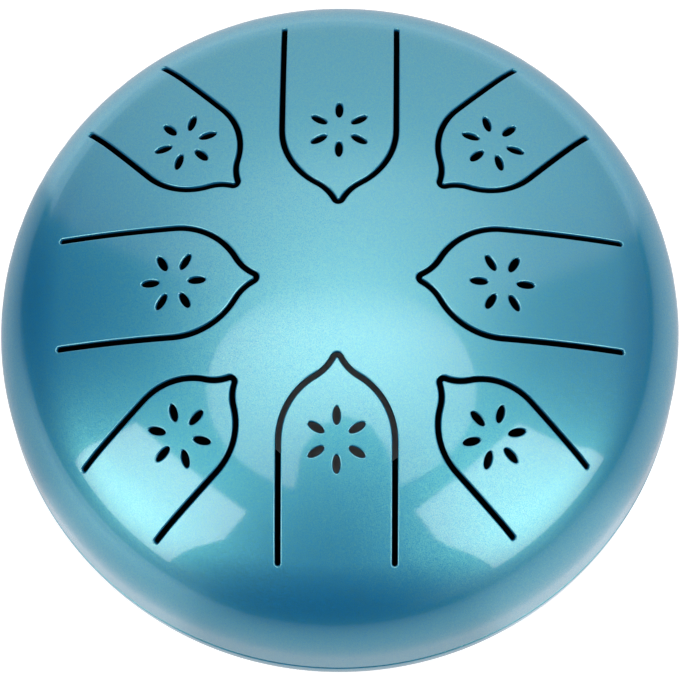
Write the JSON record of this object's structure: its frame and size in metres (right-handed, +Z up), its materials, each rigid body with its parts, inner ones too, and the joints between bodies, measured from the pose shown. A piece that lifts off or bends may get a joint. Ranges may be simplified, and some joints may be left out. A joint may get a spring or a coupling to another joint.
{
  "type": "steel tongue drum",
  "caption": "Small domed steel tongue drum: sprung petal-tipped tongues cut in the upper shell, a lower bowl with a sound hole, and push-in rubber feet.",
  "frame": {"origin": "on the surface that the drum stands on, under the middle of the drum", "axes": "+Z up along the drum's axis, -Y towards the player (the front tongue), +X to the right"},
  "size_m": [0.155, 0.155, 0.0838],
  "materials": {
    "shell_paint": "teal-blue metallic flake paint under a gloss clear coat",
    "magnet_plating": "bright nickel plate",
    "seam_bond": "dark bonding compound, painted over",
    "foot_rubber": "matt black moulded rubber"
  },
  "bodies": {
    "drum_body": {"upper_shell": "shell_paint", "lower_shell": "shell_paint", "seam_bond": "seam_bond", "foot_1": "foot_rubber", "foot_2": "foot_rubber", "foot_3": "foot_rubber"},
    "tongue_front": {"tongue_front": "shell_paint", "tuning_magnet_front": "magnet_plating"},
    "tongue_front_right": {"tongue_front_right": "shell_paint", "tuning_magnet_front_right": "magnet_plating"},
    "tongue_right": {"tongue_right": "shell_paint", "tuning_magnet_right": "magnet_plating"},
    "tongue_back_right": {"tongue_back_right": "shell_paint", "tuning_magnet_back_right": "magnet_plating"},
    "tongue_back": {"tongue_back": "shell_paint", "tuning_magnet_back": "magnet_plating"},
    "tongue_back_left": {"tongue_back_left": "shell_paint", "tuning_magnet_back_left": "magnet_plating"},
    "tongue_left": {"tongue_left": "shell_paint", "tuning_magnet_left": "magnet_plating"},
    "tongue_front_left": {"tongue_front_left": "shell_paint", "tuning_magnet_front_left": "magnet_plating"}
  },
  "joints": [
    {"name": "tongue_front_flex", "type": "hinge", "parent": "drum_body", "child": "tongue_front", "pos_m": [0, -0.062, 0.07005], "axis": [-1, 0, 0], "range_deg": [-0.6, 0.6], "stiffness_Nm_per_rad": 76},
    {"name": "tongue_front_right_flex", "type": "hinge", "parent": "drum_body", "child": "tongue_front_right", "pos_m": [0.04702, -0.04702, 0.0675], "axis": [-0.7071, -0.7071, 0], "range_deg": [-0.6, 0.6], "stiffness_Nm_per_rad": 88},
    {"name": "tongue_right_flex", "type": "hinge", "parent": "drum_body", "child": "tongue_right", "pos_m": [0.0632, 0, 0.06949], "axis": [0, -1, 0], "range_deg": [-0.6, 0.6], "stiffness_Nm_per_rad": 76},
    {"name": "tongue_back_right_flex", "type": "hinge", "parent": "drum_body", "child": "tongue_back_right", "pos_m": [0.04794, 0.04794, 0.06651], "axis": [0.7071, -0.7071, 0], "range_deg": [-0.6, 0.6], "stiffness_Nm_per_rad": 88},
    {"name": "tongue_back_flex", "type": "hinge", "parent": "drum_body", "child": "tongue_back", "pos_m": [0, 0.0654, 0.06824], "axis": [1, 0, 0], "range_deg": [-0.6, 0.6], "stiffness_Nm_per_rad": 76},
    {"name": "tongue_back_left_flex", "type": "hinge", "parent": "drum_body", "child": "tongue_back_left", "pos_m": [-0.04872, 0.04872, 0.06555], "axis": [0.7071, 0.7071, 0], "range_deg": [-0.6, 0.6], "stiffness_Nm_per_rad": 88},
    {"name": "tongue_left_flex", "type": "hinge", "parent": "drum_body", "child": "tongue_left", "pos_m": [-0.0622, 0, 0.06996], "axis": [0, 1, 0], "range_deg": [-0.6, 0.6], "stiffness_Nm_per_rad": 76},
    {"name": "tongue_front_left_flex", "type": "hinge", "parent": "drum_body", "child": "tongue_front_left", "pos_m": [-0.04787, -0.04787, 0.06659], "axis": [-0.7071, 0.7071, 0], "range_deg": [-0.6, 0.6], "stiffness_Nm_per_rad": 88}
  ]
}
